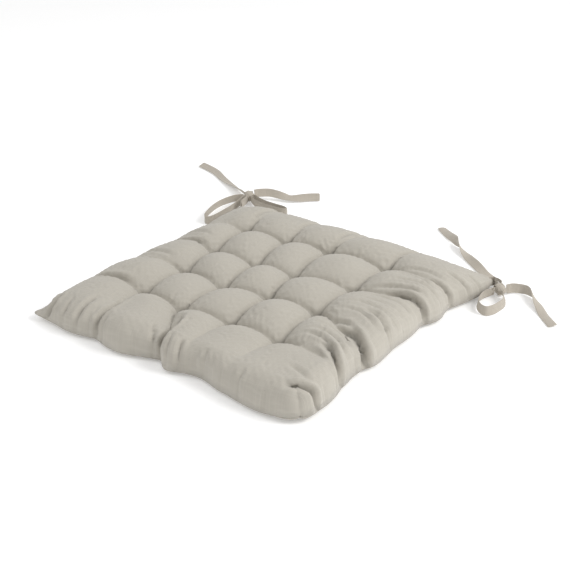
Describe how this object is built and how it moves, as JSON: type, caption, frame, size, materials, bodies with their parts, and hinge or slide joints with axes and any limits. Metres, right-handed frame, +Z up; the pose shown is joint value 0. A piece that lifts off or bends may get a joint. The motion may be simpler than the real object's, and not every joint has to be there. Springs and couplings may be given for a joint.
{
  "type": "chair seat pad",
  "caption": "Square tufted fabric chair seat pad with a fibre filling and knotted tape ties at its two back corners.",
  "frame": {"origin": "middle of the pad's underside, on the surface that it lies on", "axes": "+Z up, +Y towards the back edge with the ties, +X to the right seen from the front"},
  "size_m": [0.6905, 0.5146, 0.042],
  "materials": {
    "cover_fabric": "matt plain-weave linen and cotton, greige",
    "filling_fibre": "loose white fibre",
    "sewing_thread": "matt spun thread",
    "tie_tape": "matt folded and stitched tape of the cover's cloth"
  },
  "bodies": {
    "pad": {"top_cover": "cover_fabric", "bottom_cover": "cover_fabric", "filling": "filling_fibre", "edge_seam_thread": "sewing_thread", "tuft_thread_1_1": "sewing_thread", "tuft_thread_1_2": "sewing_thread", "tuft_thread_1_3": "sewing_thread", "tuft_thread_1_4": "sewing_thread", "tuft_thread_2_1": "sewing_thread", "tuft_thread_2_2": "sewing_thread", "tuft_thread_2_3": "sewing_thread", "tuft_thread_2_4": "sewing_thread", "tuft_thread_3_1": "sewing_thread", "tuft_thread_3_2": "sewing_thread", "tuft_thread_3_3": "sewing_thread", "tuft_thread_3_4": "sewing_thread", "tuft_thread_4_1": "sewing_thread", "tuft_thread_4_2": "sewing_thread", "tuft_thread_4_3": "sewing_thread", "tuft_thread_4_4": "sewing_thread", "tie_left_knot": "tie_tape", "tie_left_root": "tie_tape", "tie_right_knot": "tie_tape", "tie_right_root": "tie_tape"},
    "left_tail_side": {"tie_left_tail_side": "tie_tape"},
    "left_tail_back": {"tie_left_tail_back": "tie_tape"},
    "left_loop_side": {"tie_left_loop_side": "tie_tape"},
    "left_loop_back": {"tie_left_loop_back": "tie_tape"},
    "right_tail_back": {"tie_right_tail_back": "tie_tape"},
    "right_tail_side": {"tie_right_tail_side": "tie_tape"},
    "right_loop_side": {"tie_right_loop_side": "tie_tape"}
  },
  "joints": [
    {"name": "left_tail_side_swing", "type": "hinge", "parent": "pad", "child": "left_tail_side", "pos_m": [-0.213, 0.236, 0.0083], "axis": [0, 0, 1], "range_deg": [-30, 30]},
    {"name": "left_tail_back_swing", "type": "hinge", "parent": "pad", "child": "left_tail_back", "pos_m": [-0.213, 0.236, 0.0083], "axis": [0, 0, 1], "range_deg": [-20, 50]},
    {"name": "left_loop_side_lift", "type": "hinge", "parent": "pad", "child": "left_loop_side", "pos_m": [-0.213, 0.236, 0.0083], "axis": [-0.9991, 0.042, 0], "range_deg": [0, 45]},
    {"name": "left_loop_back_lift", "type": "hinge", "parent": "pad", "child": "left_loop_back", "pos_m": [-0.213, 0.236, 0.0083], "axis": [-0.162, -0.9868, 0], "range_deg": [0, 45]},
    {"name": "right_tail_back_swing", "type": "hinge", "parent": "pad", "child": "right_tail_back", "pos_m": [0.23, 0.174, 0.0083], "axis": [0, 0, 1], "range_deg": [-30, 0]},
    {"name": "right_tail_side_swing", "type": "hinge", "parent": "pad", "child": "right_tail_side", "pos_m": [0.23, 0.174, 0.0083], "axis": [0, 0, 1], "range_deg": [-20, 15]},
    {"name": "right_loop_side_lift", "type": "hinge", "parent": "pad", "child": "right_loop_side", "pos_m": [0.23, 0.174, 0.0083], "axis": [-0.9854, -0.1701, 0], "range_deg": [0, 45]}
  ]
}
